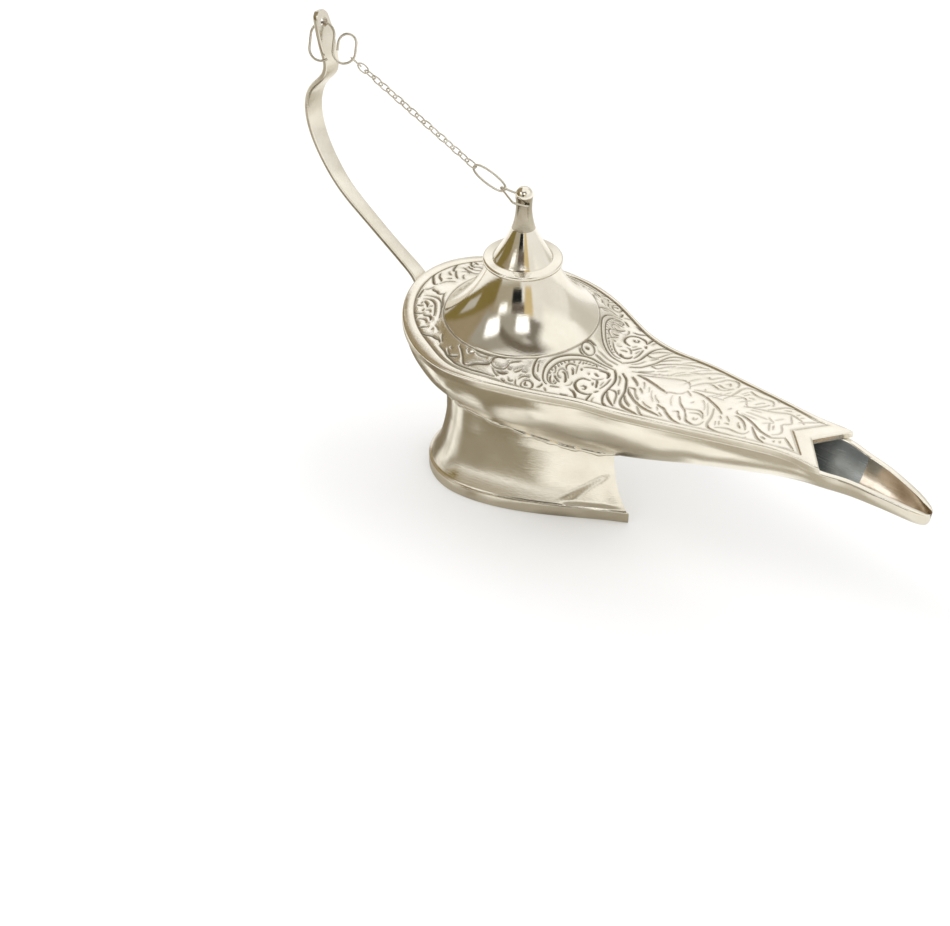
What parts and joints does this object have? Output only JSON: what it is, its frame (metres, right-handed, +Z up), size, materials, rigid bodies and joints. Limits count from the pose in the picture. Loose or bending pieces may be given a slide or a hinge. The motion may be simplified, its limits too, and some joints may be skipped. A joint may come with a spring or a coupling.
{
  "type": "genie oil lamp",
  "caption": "Boat-shaped metal oil lamp on a hollow teardrop foot, with a lift-off domed lid on a chain, a bowed strip handle and an open spout trough.",
  "frame": {"origin": "on the table, in the plane of the foot's underside, under the lid's axis", "axes": "+X from the handle to the spout, +Y to the lamp's left side, +Z up"},
  "size_m": [0.2892, 0.088, 0.1876],
  "materials": {
    "plated_casting": "polished nickel-silver plate over cast brass, dark patina in the relief",
    "plated_wire": "plated drawn wire, slightly worn",
    "fixings": "plain steel"
  },
  "bodies": {
    "lamp": {"hull": "plated_casting", "deck": "plated_casting", "foot": "plated_casting", "handle": "plated_casting", "handle_rivets": "fixings", "foot_bolt": "fixings", "foot_washer": "fixings", "foot_nut": "fixings", "chain_hook": "plated_wire", "chain_link_01": "plated_wire", "chain_link_02": "plated_wire", "chain_link_03": "plated_wire", "chain_link_04": "plated_wire", "chain_link_05": "plated_wire", "chain_link_06": "plated_wire", "chain_link_07": "plated_wire", "chain_link_08": "plated_wire", "chain_link_09": "plated_wire", "chain_link_10": "plated_wire", "chain_link_11": "plated_wire", "chain_link_12": "plated_wire", "chain_link_13": "plated_wire", "chain_link_14": "plated_wire", "chain_link_15": "plated_wire", "chain_link_16": "plated_wire", "chain_link_17": "plated_wire", "chain_end_ring": "plated_wire"},
    "lid": {"lid": "plated_casting", "lid_ring": "plated_wire"}
  },
  "joints": [
    {"name": "lid_lift", "type": "slide", "parent": "lamp", "child": "lid", "axis": [0, 0, 1], "range_m": [0, 0.025], "deforming": ["chain_link_01", "chain_link_02", "chain_link_03", "chain_link_04", "chain_link_05", "chain_link_06", "chain_link_07", "chain_link_08", "chain_link_09", "chain_link_10", "chain_link_11", "chain_link_12", "chain_link_13", "chain_link_14", "chain_link_15", "chain_link_16", "chain_link_17", "chain_end_ring"]}
  ]
}
